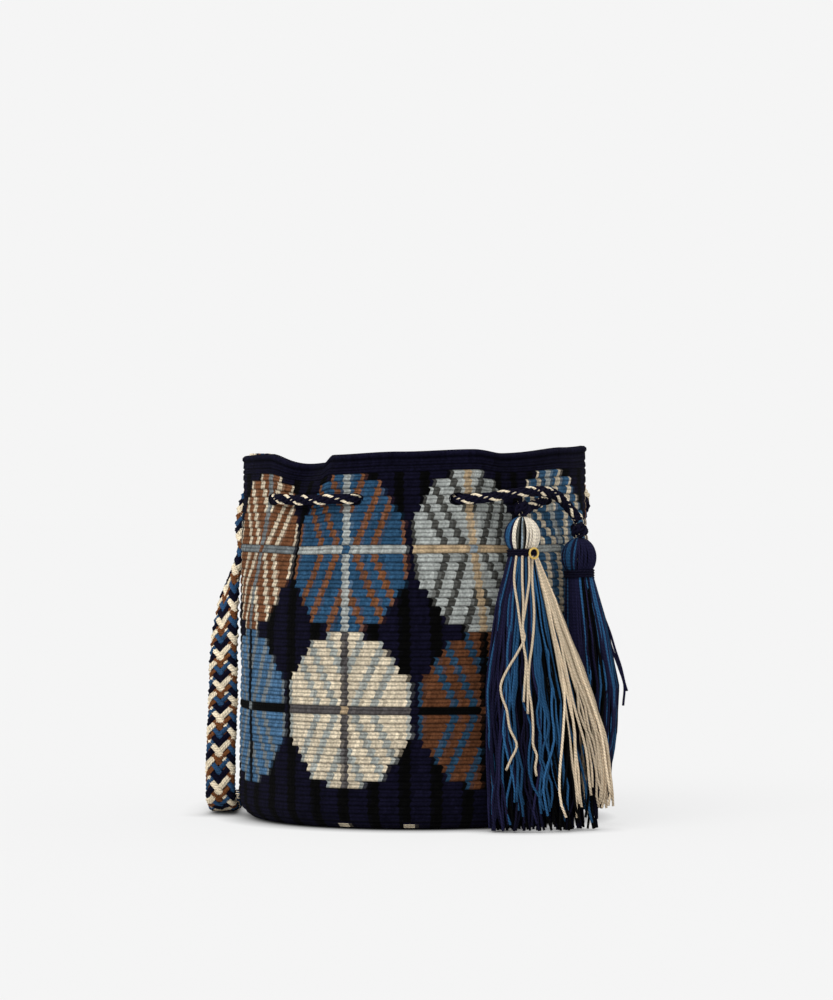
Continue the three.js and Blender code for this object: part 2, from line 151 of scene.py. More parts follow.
# Medallions as (ground, rays, cross, middle), in the order round the bag from the back
UPPER_COLOURS = (
    (LIGHT_GREY, CHARCOAL, TAN, PALE_BLUE),
    (FADED_BLUE, CREAM, LIGHT_GREY, FADED_BLUE),
    (BROWN, CREAM, STEEL, BROWN),
    (BLUE, BROWN, LIGHT_GREY, BLUE),
)
LOWER_COLOURS = (
    (MUTED_BROWN, MUTED_BLUE, BLACK, MUTED_BROWN),
    (LIGHT_GREY, CHARCOAL, TAN, PALE_BLUE),
    (LIGHT_BLUE, STEEL, BLACK, STEEL),
    (CREAM, FAINT_BLUE, DARK_GREY, TAN),
)


# Numbers and curves

def smooth_step(value, low, high):
    t = np.clip((np.asarray(value, float) - low) / (high - low), 0, 1)
    return t * t * (3 - 2 * t)


def eased(table, x):
    """The values at x of rows of (key, value), eased from row to row."""
    x = np.asarray(x, float)
    after = np.clip(np.searchsorted(table[:, 0], x), 1, len(table) - 1)
    x0, x1 = table[after - 1, 0], table[after, 0]
    y0, y1 = table[after - 1, 1], table[after, 1]
    return y0 + (y1 - y0) * smooth_step((x - x0) / (x1 - x0), 0, 1)


def wrapped(angle):
    return (np.asarray(angle, float) + 180) % 360 - 180


def around(angle, radius, z):
    """Points at angles round the bag, at a distance from its axis."""
    turn = np.radians(angle)
    x, y, z = np.broadcast_arrays(radius * np.sin(turn), -radius * np.cos(turn), z)
    return np.stack([x, y, z], -1).astype(float)


def unit(v):
    return v / np.maximum(np.linalg.norm(v, axis=-1, keepdims=True), 1e-9)


def linear(colour):
    c = np.asarray(colour, float)
    return np.where(c <= 0.04045, c / 12.92, ((c + 0.055) / 1.055) ** 2.4)


def catmull_rom(points, per_span):
    """A centripetal curve through the points."""
    p = np.asarray(points, float)
    p = np.vstack([2 * p[0] - p[1], p, 2 * p[-1] - p[-2]])
    gaps = np.maximum(np.linalg.norm(np.diff(p, axis=0), axis=1) ** 0.5, 1e-4)
    knots = np.concatenate([[0], np.cumsum(gaps)])
    pieces = []
    for i in range(1, len(p) - 2):
        t0, t1, t2, t3 = knots[i - 1:i + 3]
        t = np.linspace(t1, t2, per_span, endpoint=i == len(p) - 3)[:, None]
        a1 = (t1 - t) / (t1 - t0) * p[i - 1] + (t - t0) / (t1 - t0) * p[i]
        a2 = (t2 - t) / (t2 - t1) * p[i] + (t - t1) / (t2 - t1) * p[i + 1]
        a3 = (t3 - t) / (t3 - t2) * p[i + 1] + (t - t2) / (t3 - t2) * p[i + 2]
        b1 = (t2 - t) / (t2 - t0) * a1 + (t - t0) / (t2 - t0) * a2
        b2 = (t3 - t) / (t3 - t1) * a2 + (t - t1) / (t3 - t1) * a3
        pieces.append((t2 - t) / (t2 - t1) * b1 + (t - t1) / (t2 - t1) * b2)
    return np.vstack(pieces)


def lengths(path):
    return np.concatenate([[0], np.cumsum(np.linalg.norm(np.diff(path, axis=0), axis=1))])


def respaced(path, step, *others):
    """The path at even steps, and other rows of values carried along with it."""
    s = lengths(path)
    count = max(2, round(s[-1] / step) + 1)
    at = np.linspace(0, s[-1], count)
    rows = [np.stack([np.interp(at, s, r[:, k]) for k in range(r.shape[1])], 1) for r in (path, *others)]
    return rows if others else rows[0]


def carried_frame(path):
    """Two directions across the path that turn as little as they can along it."""
    tangents = unit(np.gradient(path, axis=0))
    first = np.cross(tangents[0], (0.0, 0.0, 1.0))
    if np.linalg.norm(first) < 0.2:
        first = np.cross(tangents[0], (0.0, 1.0, 0.0))
    side = [first / np.linalg.norm(first)]
    for t in tangents[1:]:
        v = side[-1] - t * np.dot(side[-1], t)
        side.append(v / max(np.linalg.norm(v), 1e-9))
    side = np.array(side)
    return side, np.cross(tangents, side)


# Meshes

def rings_to_faces(count, columns):
    """Quads between neighbouring rings, as vertex numbers, with the ring and column of each."""
    ring, column = np.meshgrid(np.arange(count - 1), np.arange(columns), indexing="ij")
    a = ring * columns + column
    b = ring * columns + (column + 1) % columns
    faces = np.stack([a, b, b + columns, a + columns], -1).reshape(-1, 4)
    return faces, ring.ravel(), column.ravel()


def quad_uvs(u0, v0, u1, v1):
    """The UVs at the corners of quads, from arrays of their low and high U and V."""
    return np.stack([np.stack(c, -1) for c in ((u0, v0), (u1, v0), (u1, v1), (u0, v1))], -2)


class Build:
    """Vertices, faces, colours and UVs gathered for one mesh, in millimetres."""

    def __init__(self):
        self.vertices, self.colours, self.corners, self.sizes, self.uvs = [], [], [], [], []
        self.count = 0

    def add_faces(self, faces, uvs, colours):
        """Faces as equally long rows of vertex numbers, with the UVs and colours of their corners."""
        self.colours.append(np.broadcast_to(colours, (*faces.shape, 3)).reshape(-1, 3))
        self.corners.append(faces.ravel())
        self.sizes.append(np.full(len(faces), faces.shape[1]))
        self.uvs.append(np.broadcast_to(uvs, (*faces.shape, 2)).reshape(-1, 2))

    def add(self, vertices, faces, uvs, colours):
        """Vertices, and faces that are numbered from the first of them."""
        self.vertices.append(vertices)
        self.add_faces(faces + self.count, uvs, colours)
        self.count += len(vertices)

    def tube(self, path, radius, colour, sides):
        """A closed tube of yarn. U goes once round it and V is the length along it."""
        side, up = carried_frame(path)
        turns = np.arange(sides) * 2 * math.pi / sides
        ring = np.cos(turns)[None, :, None] * side[:, None] + np.sin(turns)[None, :, None] * up[:, None]
        vertices = (path[:, None] + radius * ring).reshape(-1, 3)
        faces, level, number = rings_to_faces(len(path), sides)
        along = lengths(path)
        uvs = quad_uvs(number / sides, along[level], (number + 1) / sides, along[level + 1])
        ends = np.array([np.arange(sides)[::-1], (len(path) - 1) * sides + np.arange(sides)])
        ends += self.count
        self.add(vertices, faces, uvs, colour)
        self.add_faces(ends, 0.0, colour)

    def mesh(self, name, material):
        vertices = np.concatenate(self.vertices) * MM
        corners = np.concatenate(self.corners).astype(np.int32)
        sizes = np.concatenate(self.sizes).astype(np.int32)
        mesh = bpy.data.meshes.new(name)
        mesh.vertices.add(len(vertices))
        mesh.vertices.foreach_set("co", vertices.ravel())
        mesh.loops.add(len(corners))
        mesh.loops.foreach_set("vertex_index", corners)
        mesh.polygons.add(len(sizes))
        starts = np.concatenate([[0], np.cumsum(sizes)[:-1]])
        mesh.polygons.foreach_set("loop_start", starts.astype(np.int32))
        mesh.update(calc_edges=True)
        mesh.polygons.foreach_set("use_smooth", np.ones(len(sizes), bool))
        layer = mesh.uv_layers.new(name="yarn")
        layer.data.foreach_set("uv", np.concatenate(self.uvs).astype(np.float32).ravel())
        colours = np.concatenate(self.colours)
        # The corner colours hold the yarns' dye with painted shade multiplied in
        dye_and_shade = mesh.color_attributes.new("dye_and_shade", "FLOAT_COLOR", "CORNER")
        opaque = np.hstack([colours, np.ones((len(colours), 1))])
        dye_and_shade.data.foreach_set("color", opaque.astype(np.float32).ravel())
        mesh.materials.append(material)
        mesh.validate()
        return placed(name, mesh)


def placed(name, mesh):
    obj = bpy.data.objects.new(name, mesh)
    bpy.context.scene.collection.objects.link(obj)
    return obj


# Materials

class Graph:
    """The nodes of a material or of the world, with short ways to add to them."""

    def __init__(self, tree):
        self.nodes, self.links = tree.nodes, tree.links

    def feed(self, socket, value):
        """Gives a socket a plain value, or a link from another socket."""
        if isinstance(value, bpy.types.NodeSocket):
            self.links.new(value, socket)
        else:
            socket.default_value = value

    def node(self, kind, values=None):
        node = self.nodes.new(kind)
        for name, value in (values or {}).items():
            self.feed(node.inputs[name], value)
        return node

    def math(self, operation, *values):
        node = self.nodes.new("ShaderNodeMath")
        node.operation = operation
        for socket, value in zip(node.inputs, values):
            self.feed(socket, value)
        return node.outputs[0]

    def noise(self, scale, detail=2):
        """Noise that is fixed to the object."""
        place = self.node("ShaderNodeTexCoord").outputs["Object"]
        values = {"Vector": place, "Scale": scale, "Detail": detail}
        return self.node("ShaderNodeTexNoise", values).outputs["Fac"]

    def ranged(self, value, low, high, from_low=0.0, from_high=1.0):
        values = {"Value": value, "From Min": from_low, "From Max": from_high, "To Min": low, "To Max": high}
        return self.node("ShaderNodeMapRange", values).outputs["Result"]


def node_material(name):
    material = bpy.data.materials.new(name)
    material.use_nodes = True
    return material, Graph(material.node_tree), material.node_tree.nodes["Principled BSDF"]


def dyed_and_shaded(graph, shader, contrast, scale, painted_shade):
    """The mesh's colours, which hold painted shade, mottled as spun yarn is and darkened further by painted
    shade for the grooves of its relief.
    """
    dye_and_shade = graph.node("ShaderNodeAttribute")
    dye_and_shade.attribute_name = "dye_and_shade"
    fibres = graph.noise(scale, 4)
    spread = graph.ranged(fibres, 1 - contrast, 1 + contrast, 0.3, 0.7)
    mottled = graph.node("ShaderNodeVectorMath")
    mottled.operation = "SCALE"
    graph.feed(mottled.inputs[0], dye_and_shade.outputs["Color"])
    graph.feed(mottled.inputs["Scale"], graph.math("MULTIPLY", spread, painted_shade))
    graph.feed(shader.inputs["Base Color"], mottled.outputs["Vector"])
    return fibres


def soft_yarn(shader):
    shader.inputs["Roughness"].default_value = 0.88
    shader.inputs["Specular IOR Level"].default_value = 0.022
    shader.inputs["Sheen Weight"].default_value = 0.01
    shader.inputs["Sheen Roughness"].default_value = 0.5


def bumped(graph, shader, height, distance):
    bump = graph.node("ShaderNodeBump", {"Height": height, "Distance": distance})
    graph.feed(shader.inputs["Normal"], bump.outputs["Normal"])


def uv_parts(graph):
    uv = graph.node("ShaderNodeUVMap")
    uv.uv_map = "yarn"
    parts = graph.node("ShaderNodeSeparateXYZ", {"Vector": uv.outputs["UV"]})
    return parts.outputs["X"], parts.outputs["Y"]


def twisted_yarn_material():
    """Two-ply yarn: its plies wind round it, and fine fibres lie along them. The colour is darkened between
    the plies, as painted shade.
    """
    material, graph, shader = node_material("twisted_yarn")
    soft_yarn(shader)
    u, v = uv_parts(graph)
    turn = graph.math("ADD", graph.math("MULTIPLY", u, 2.0), graph.math("MULTIPLY", v, 0.5))
    ply = graph.math("ABSOLUTE", graph.math("SINE", graph.math("MULTIPLY", turn, math.pi)))
    rounded = graph.math("POWER", ply, 0.6)
    # Painted shade: the colour is darker in the grooves between the plies
    painted_shade = graph.math("MULTIPLY_ADD", rounded, 0.42, 0.68)
    fibres = dyed_and_shaded(graph, shader, 0.18, 900, painted_shade)
    height = graph.math("ADD", rounded, graph.math("MULTIPLY", fibres, 0.5))
    bumped(graph, shader, height, 0.35 * MM)
    return material


# Height of the yarn within a round: two ridges, with a groove between them and a deeper one between rounds.
# The same ramp darkens the colour in the grooves, as painted shade.
ROUND_RIDGES = ((0.0, 0.0), (0.1, 0.6), (0.22, 1.0), (0.38, 0.9), (0.5, 0.25), (0.56, 0.3), (0.68, 0.95),
                (0.84, 0.8), (1.0, 0.0))


def ramp(graph, value, stops):
    node = graph.node("ShaderNodeValToRGB", {"Fac": value})
    elements = node.color_ramp.elements
    while len(elements) < len(stops):
        elements.new(0.5)
    for element, (place, level) in zip(elements, stops):
        element.position = place
        element.color = (level, level, level, 1)
    return node.outputs["Color"]


def crochet_material():
    """Single crochet: rounds of two ridges, and in each stitch two legs of yarn that lean together. Between
    ridges and between legs the colour is darkened, as painted shade.
    """
    material, graph, shader = node_material("crochet")
    soft_yarn(shader)
    u, v = uv_parts(graph)
    rise = graph.math("FRACT", v)
    wandered = graph.math("MULTIPLY_ADD", graph.noise(420), 0.16, graph.math("SUBTRACT", rise, 0.08))
    ridges = ramp(graph, wandered, ROUND_RIDGES)
    # Painted shade: the colour is darkened in the grooves of the rounds
    painted_groove_shade = graph.math("MULTIPLY_ADD", ridges, 0.6, 0.4)
    off_middle = graph.math("ABSOLUTE", graph.math("SUBTRACT", graph.math("FRACT", u), 0.5))
    lean = graph.math("MULTIPLY", rise, 0.55)
    leaning = graph.math("SUBTRACT", graph.math("MULTIPLY", off_middle, 2.0), lean)
    legs = graph.math("ABSOLUTE", graph.math("SINE", graph.math("MULTIPLY", leaning, 2 * math.pi)))
    # Painted shade: the colour is darker between the stitches' legs
    painted_leg_shade = graph.math("MULTIPLY_ADD", legs, 0.3, 0.74)
    fibres = dyed_and_shaded(graph, shader, 0.3, 700, graph.math("MULTIPLY", painted_groove_shade, painted_leg_shade))
    relief = graph.math("ADD", ridges, graph.math("MULTIPLY", legs, 0.3))
    height = graph.math("ADD", relief, graph.math("MULTIPLY", fibres, 0.9))
    bumped(graph, shader, height, 0.6 * MM)
    return material


def brass_material():
    material, graph, shader = node_material("brass")
    shader.inputs["Metallic"].default_value = 1.0
    shader.inputs["Base Color"].default_value = (0.72, 0.5, 0.14, 1)
    wear = graph.noise(300)
    graph.feed(shader.inputs["Roughness"], graph.ranged(wear, 0.18, 0.42))
    bumped(graph, shader, wear, 0.05 * MM)
    return material


# Crocheted body

def round_height(level, angle):
    """How high a level of the crochet lies, counted in rounds, at angles round the bag."""
    level = np.asarray(level, float)
    share = np.maximum(0, (level - RIM_SETTLES_FROM) / (ROUNDS - RIM_SETTLES_FROM))
    settled = eased(RIM_RISES, wrapped(angle)) * share ** 3.5
    uneven = 0.22 * np.sin(1.9 * level + 3 * np.radians(angle)) * smooth_step(level, 1, 4)
    return BODY_HEIGHT * level / ROUNDS + eased(ROUND_LIFTS, level) + settled + uneven


def wall_radius(angle, z):
    z = np.asarray(z, float)
    corner = np.clip(z, 0, BASE_CORNER)
    rounding = BASE_CORNER - np.sqrt(BASE_CORNER ** 2 - (BASE_CORNER - corner) ** 2)
    radius = BODY_RADIUS - rounding - TOP_DRAWN_IN * smooth_step(z, 0.55 * BODY_HEIGHT, BODY_HEIGHT)
    for at, depth, width, slant in FOLDS:
        away = wrapped(angle - at + slant * (BODY_HEIGHT - z)) / width
        radius = radius - depth * np.exp(-away ** 2) * smooth_step(z, FOLDS_FROM, BODY_HEIGHT)
    return radius


def drawn_by(pattern_angle, z):
    """Degrees that the drawstring has drawn a place of the pattern sideways."""
    return eased(DRAWN_SIDEWAYS, wrapped(pattern_angle)) * smooth_step(z, DRAWN_FROM, DRAWN_TO)


def stitch_colours():
    """The colour of each stitch, by round and stitch, counted from the back."""
    rows, columns = np.meshgrid(np.arange(ROUNDS), np.arange(STITCHES), indexing="ij")
    medallion = columns // STITCHES_PER_MEDALLION
    offset = columns % STITCHES_PER_MEDALLION - STITCHES_PER_MEDALLION / 2 + 0.5
    striped = (columns - FIRST_STRIPE) % STRIPE_PERIOD < STRIPE_WIDTH
    striped &= rows < ROUNDS - 2
    colours = np.where(striped[..., None], linear(BLACK), linear(NAVY))
    past_first = columns - FIRST_DASH
    dashed = (rows == 0) & (past_first >= 0) & (past_first < DASHES * DASH_PERIOD)
    dashed &= past_first % DASH_PERIOD < DASH_WIDTH
    colours[dashed] = linear(CREAM)
    from_line = np.abs(offset) - 0.5
    for cross, table in ((LOWER_CROSS, LOWER_COLOURS), (UPPER_CROSS, UPPER_COLOURS)):
        up = np.abs(rows - cross)
        width = np.array(HALF_WIDTHS + (0,))[np.minimum(up, len(HALF_WIDTHS))]
        inside = np.abs(offset) < width
        lean = from_line - up
        rays = np.isin(lean, RAYS)
        rays |= (from_line >= SIDE_RAYS_FROM) & (up >= 1) & (up <= SIDE_RAYS_REACH)
        on_cross = (up == 0) | (from_line < 1)
        middle = (up == 0) & (from_line < 1)
        for place in range(MEDALLIONS):
            ground, ray, line, centre = (linear(c) for c in table[place % len(table)])
            here = inside & (medallion == place)
            colours[here] = ground
            colours[here & rays & ~on_cross] = ray
            colours[here & on_cross] = line
            colours[here & middle] = centre
    peeping = np.clip(rng.normal(0.08, 0.08, (ROUNDS, STITCHES, 1)), 0, 0.3)
    colours = colours * (1 - peeping) + np.roll(colours, 1, axis=1) * peeping
    brightness = 1 + 0.13 * rng.standard_normal((ROUNDS, STITCHES, 1))
    return colours * np.clip(brightness, 0.72, 1.3)


def ripple(angle, z):
    """The slow unevenness of handwork, in millimetres."""
    turn = np.radians(angle)
    return (0.5 * np.sin(3 * turn + 0.02 * z + 1.1) + 0.35 * np.sin(7 * turn - 0.035 * z)
            + 0.22 * np.sin(13 * turn + 0.11 * z + 2.0) + 0.15 * np.sin(0.29 * z + 2 * turn))


# Levels within a round: how far up it, how far the yarn stands out there, and its painted shade, which
# darkens the colour there (most in the groove)
ROUND_PROFILE = ((0.0, -0.34, 0.8), (0.26, 0.24, 1.0), (0.74, 0.14, 0.97))
# How far to the right the top of a stitch is from its foot, in stitches
STITCH_LEAN = 0.85
COLUMNS_PER_STITCH = 2
OUTER_COLUMNS = STITCHES * COLUMNS_PER_STITCH
INNER_COLUMNS = STITCHES
BASE_COLUMNS = 48
STITCHES_PER_BASE_COLUMN = 4.0
BOTTOM_RADIUS = BODY_RADIUS - BASE_CORNER


def wall_ring(columns, level, rise=0.0, out=0.0, pillow=0.0, lean=0.0):
    """A ring of the wall: its level in rounds, millimetres above that, how far it stands out, and
    how many stitches it leans over."""
    pattern = np.arange(columns) * 360.0 / columns - 180 + lean * 360.0 / STITCHES
    z = round_height(level, pattern) + rise
    angle = pattern + drawn_by(pattern, z)
    z = round_height(level, angle) + rise
    radius = wall_radius(angle, z) + out + ripple(angle, z) * smooth_step(z, 0, 30)
    radius = radius + pillow * np.where(np.arange(columns) % COLUMNS_PER_STITCH, 1, -1)
    return around(angle, radius, z)


def outer_wall():
    """Rings of the outside from the base to the inner edge of the rim, with their levels and painted shades.
    """
    points, levels, painted_shades = [], [], []
    for number in range(ROUNDS):
        for share, out, painted_shade in ROUND_PROFILE:
            lean = STITCH_LEAN * (share - 0.5) * smooth_step(number, 0, 3)
            points.append(wall_ring(OUTER_COLUMNS, number + share, 0, out, 0.16 if share else 0.04, lean))
            levels.append(number + share)
            painted_shades.append(painted_shade)
    half = WALL / 2 + RIM_ROLL
    # The rim's roll: its rings are darker where it curls over and under, as painted shade
    for turn, painted_shade in ((-50, 0.7), (-15, 0.95), (25, 1.0), (65, 1.0), (105, 1.0), (150, 0.9), (200, 0.7)):
        lean = math.radians(turn)
        rise = RIM_ROLL_HEIGHT / 2 * (1 + math.sin(lean))
        out = half * math.cos(lean) - WALL / 2
        points.append(wall_ring(OUTER_COLUMNS, ROUNDS, rise, out, 0.3))
        levels.append(ROUNDS + (turn + 50) / 250)
        painted_shades.append(painted_shade)
    return np.array(points), np.array(levels), np.array(painted_shades)


def inner_wall():
    levels = np.arange(ROUNDS, 0, -1.0)
    points = np.array([wall_ring(INNER_COLUMNS, level, 0, -WALL) for level in levels])
    # The inside is darkened to 0.85 throughout, as painted shade
    return points, levels, np.full(len(levels), 0.85)


def around_eyelets(points):
    """For each vertex: the distance to the nearest eyelet's middle, where its edge counts as 1."""
    turn = np.degrees(np.arctan2(points[:, 0], -points[:, 1]))
    distance = np.full(len(points), 99.0)
    nearest = np.zeros(len(points), int)
    for i, at in enumerate(EYELET_ANGLES):
        across = np.radians(wrapped(turn - at)) * BODY_RADIUS / EYELET_HALF[0]
        d = np.hypot(across, (points[:, 2] - EYELET_HEIGHT) / EYELET_HALF[1])
        nearest[d < distance] = i
        distance = np.minimum(distance, d)
    return distance, nearest, turn


def open_eyelets(points, faces):
    """Leaves out the faces inside the eyelets and brings the edge left there onto the eyelets' ovals."""
    distance, nearest, turn = around_eyelets(points)
    kept = distance[faces].mean(1) > 1
    edge = np.zeros(len(points), bool)
    edge[np.intersect1d(faces[kept], faces[~kept])] = True
    at = np.array(EYELET_ANGLES, float)[nearest]
    share = 1 / np.maximum(distance, 0.2)
    angle = at + wrapped(turn - at) * share
    z = EYELET_HEIGHT + (points[:, 2] - EYELET_HEIGHT) * share
    moved = around(angle, np.hypot(points[:, 0], points[:, 1]), z)
    return np.where(edge[:, None], moved, points), kept


def add_skin(build, rings, columns, colour_of, stitches_per_column):
    """A wall of crochet from its rings, levels and painted shades, with the eyelets left open."""
    points, levels, painted_shades = rings
    flat = points.reshape(-1, 3)
    faces, ring, column = rings_to_faces(len(points), columns)
    flat, kept = open_eyelets(flat, faces)
    faces, ring, column = faces[kept], ring[kept], column[kept]
    u = column * stitches_per_column
    uvs = quad_uvs(u, levels[ring], u + stitches_per_column, levels[ring + 1])
    # Painted shade: each ring's factor darkens the colours of its corners
    low, high = painted_shades[ring], painted_shades[ring + 1]
    painted_shade = np.stack([low, low, high, high], 1)
    colours = colour_of(levels[ring], column)[:, None] * painted_shade[..., None]
    build.add(flat, faces, uvs, colours)


def add_eyelet_edges(build, navy):
    """The edge of each eyelet, worked over with yarn from the outside through to the inside."""
    turns = np.arange(32) * 2 * math.pi / 32
    profile = ((-0.3, 1.16), (0.3, 1.1), (0.35, 1.0), (-0.2, 0.93), (-WALL / 2, 0.9), (-WALL, 0.93),
               (-WALL - 0.5, 1.0), (-WALL - 0.5, 1.12), (-WALL + 0.2, 1.2))
    for at in EYELET_ANGLES:
        rings = []
        for out, size in profile:
            angle = at + np.degrees(np.cos(turns) * EYELET_HALF[0] * size / BODY_RADIUS)
            z = EYELET_HEIGHT + np.sin(turns) * EYELET_HALF[1] * size
            rings.append(around(angle, wall_radius(angle, z) + out + ripple(angle, z), z))
        faces, ring, column = rings_to_faces(len(rings), len(turns))
        uvs = quad_uvs(column, ring, column + 1, ring + 1) * 0.5
        # The navy given here comes darkened, as painted shadow in the holes
        build.add(np.concatenate(rings), faces[:, ::-1], uvs[:, ::-1], navy)


def add_disc(build, radius, height, colour, inside_out):
    """Rounds of crochet worked flat, from the edge in to the middle."""
    pitch = BODY_HEIGHT / ROUNDS
    count = int(radius / pitch)
    rings, levels = [], []
    turn = np.arange(BASE_COLUMNS) * 360.0 / BASE_COLUMNS
    sign = -1 if inside_out else 1
    for number in range(count):
        for share, rise in ((0.0, 0.0), (0.45, 0.5)):
            ring_radius = max(radius - (number + share) * pitch, 0.8)
            rings.append(around(turn, ring_radius, height + sign * (rise - 0.5)))
            levels.append(number + share)
    rings.append(around(turn, 0.3, height))
    levels.append(float(count))
    faces, ring, column = rings_to_faces(len(rings), BASE_COLUMNS)
    levels = np.array(levels)
    u = column * STITCHES_PER_BASE_COLUMN
    uvs = quad_uvs(u, levels[ring], u + STITCHES_PER_BASE_COLUMN, levels[ring + 1])
    if inside_out:
        faces, uvs = faces[:, ::-1], uvs[:, ::-1]
    build.add(np.concatenate(rings), faces, uvs, colour)


def bag_body(material):
    stitches = stitch_colours()
    navy = linear(NAVY)
    build = Build()

    def outside_colour(level, column):
        number = np.minimum(level.astype(int), ROUNDS - 1)
        colours = stitches[number, column // COLUMNS_PER_STITCH]
        off_ridge = (number == 0) & (level != ROUND_PROFILE[1][0])
        colours[off_ridge] = np.minimum(colours[off_ridge], navy)
        return colours

    def inside_colour(level, column):
        number = np.clip(np.ceil(level).astype(int) - 1, 0, ROUNDS - 1)
        return stitches[number, column] * 0.75 + navy * 0.25

    add_skin(build, outer_wall(), OUTER_COLUMNS, outside_colour, 1 / COLUMNS_PER_STITCH)
    add_skin(build, inner_wall(), INNER_COLUMNS, inside_colour, 1)
    # The eyelets' edges: navy darkened to 0.7, as painted shadow in the holes
    add_eyelet_edges(build, navy * 0.7)
    # The base's underside: navy darkened to 0.8, as painted shade under the bag
    add_disc(build, BOTTOM_RADIUS + 0.4, 0.0, navy * 0.8, True)
    add_disc(build, BODY_RADIUS - WALL - 1, BASE_THICKNESS, navy, False)
    return build.mesh("bag_body", material)


# Braids

class Braid:
    """How the strands of a tubular braid run.

    It has as many strands each way, which come out over so many others before they go under.
    """

    def __init__(self, pitch, strands, over, undulation, section):
        self.pitch, self.strands, self.over = pitch, strands, over
        self.undulation, self.section = undulation, section

    def strand(self, s, number, forward, shift, raised):
        """The place across the braid of one yarn of a strand: (sideways, up), at lengths s along it."""
        n = self.strands
        start = 2 * math.pi * number / n
        if forward:
            phi = 2 * math.pi * s / self.pitch + start + shift
        else:
            phi = -2 * math.pi * s / self.pitch + start + math.pi / n + shift
        wave = self.undulation * np.cos(n / self.over * (phi - shift) - math.pi / 2)
        return self.section(phi, raised - wave if forward else raised + wave)


def round_section(radius, turn=0.0):
    def section(phi, out):
        return (radius + out) * np.cos(phi + turn), (radius + out) * np.sin(phi + turn)
    return section


def flat_section(half_width, half_thickness):
    """A flat oval of straight faces and round edges, gone round evenly by its length."""
    straight = 2 * (half_width - half_thickness)
    quarter = math.pi * half_thickness / 2
    half_girth = straight + 2 * quarter

    def section(phi, out):
        along = (phi / (2 * math.pi)) % 1 * 2 * half_girth
        side = np.where(along < half_girth, 1, -1)
        along = along % half_girth
        turn = np.maximum(np.minimum(along, quarter), along - straight) / half_thickness
        centre = straight / 2 - np.clip(along - quarter, 0, straight)
        reach = half_thickness + out
        return side * (centre + reach * np.cos(turn)), side * reach * np.sin(turn)
    return section


def add_braid(build, path, side, up, braid, yarn_radius, colours, bulk, yarns, yarn_gap, sides):
    """Lays the strands of a braid along a path whose sideways and upward directions are given.

    The colours are those of the strands one way and then of the strands the other way. The bulk of a
    colour makes its yarns thicker or thinner.
    """
    s = lengths(path)
    s = s + 0.06 * braid.pitch * np.sin(s / braid.pitch * 1.7)
    for forward in (True, False):
        for number in range(braid.strands):
            colour = colours[number if forward else braid.strands + number]
            thickness = bulk.get(colour, 1.0)
            for yarn in range(yarns):
                off_middle = yarn - (yarns - 1) / 2
                x, y = braid.strand(s, number, forward, off_middle * yarn_gap * thickness,
                                    0.3 * yarn_radius * (1 - abs(off_middle)) + yarn_radius * (thickness - 1))
                strand = path + x[:, None] * side + y[:, None] * up
                tint = linear(colour) * (1 + 0.1 * rng.standard_normal())
                build.tube(strand, yarn_radius * thickness, tint, sides)


# Drawstring

STEP = math.degrees(1 / BODY_RADIUS)
KNOT_RISE = 0.9 * HEAD_RADIUS + HEAD_RADIUS + 0.9 * KNOT_RADIUS + CLEARANCE
UP = np.array((0.0, 0.0, 1.0))


def beside(angle, out, z):
    return around(angle, BODY_RADIUS + out, z)


class Tassel:
    """Where a tassel hangs and how its skirt opens, as the frame's solid has it."""

    def __init__(self, neck, facing, foot, along, out, turn, opening):
        self.neck, self.foot = neck, foot
        self.head = neck + 0.9 * HEAD_RADIUS * UP
        self.knot = neck + KNOT_RISE * UP
        self.facing, self.along, self.out, self.turn = facing, along, out, turn
        self.opening = np.array(opening, float)

    def place(self, angle, share, fullness):
        """Points of the skirt at angles round it, from the neck (0) to the foot (1)."""
        opened = np.interp(share, self.opening[:, 0], self.opening[:, 1])
        centre = self.neck + (self.foot - self.neck) * np.asarray(share, float)[..., None]
        along = NECK_RADIUS + (self.along - NECK_RADIUS) * opened
        out = NECK_RADIUS + (self.out - NECK_RADIUS) * opened
        along_way = around(self.facing + 90 + self.turn * opened, 1, 0)
        out_way = around(self.facing + self.turn * opened, 1, 0)
        x = along * np.sin(np.radians(angle)) * fullness
        y = out * np.cos(np.radians(angle)) * fullness
        return centre + x[..., None] * along_way + y[..., None] * out_way


FRONT_TASSEL = Tassel(
    beside(32.3, 10.9, EYELET_HEIGHT - 32.1), 32, beside(36, 21.5, FLOOR_GAP), 33, 14.5, -14,
    ((0, 0), (0.17, 0.4), (0.35, 0.64), (0.5, 0.84), (0.65, 0.94), (1, 1)))
SIDE_TASSEL = Tassel(
    beside(54.4, 12.9, EYELET_HEIGHT - 45.1), 54, beside(62, 17.5, FLOOR_GAP), 22, 14, 4,
    ((0, 0), (0.2, 0.5), (0.45, 0.92), (0.65, 1), (1, 0.55)))

# The loose end on its way to the side tassel: angle, out from the wall, above the eyelets
LOOSE_END = ((52.9, 10, -7.6), (47.6, 7.9, 1.4), (41, 8.8, 4.4), (31.6, 11.8, 3.9), (25.6, 7.4, 1.9),
             (20.1, 3.8, 0.4))
# The other end on its way to the front tassel, likewise
TIED_END = ((41.5, 2.7, -2.6), (37, 4.9, -4.6))
# Millimetres beside an eyelet where the cord has settled along the wall, and where it passes through
SETTLED, PASSING = 11.4, 2.6


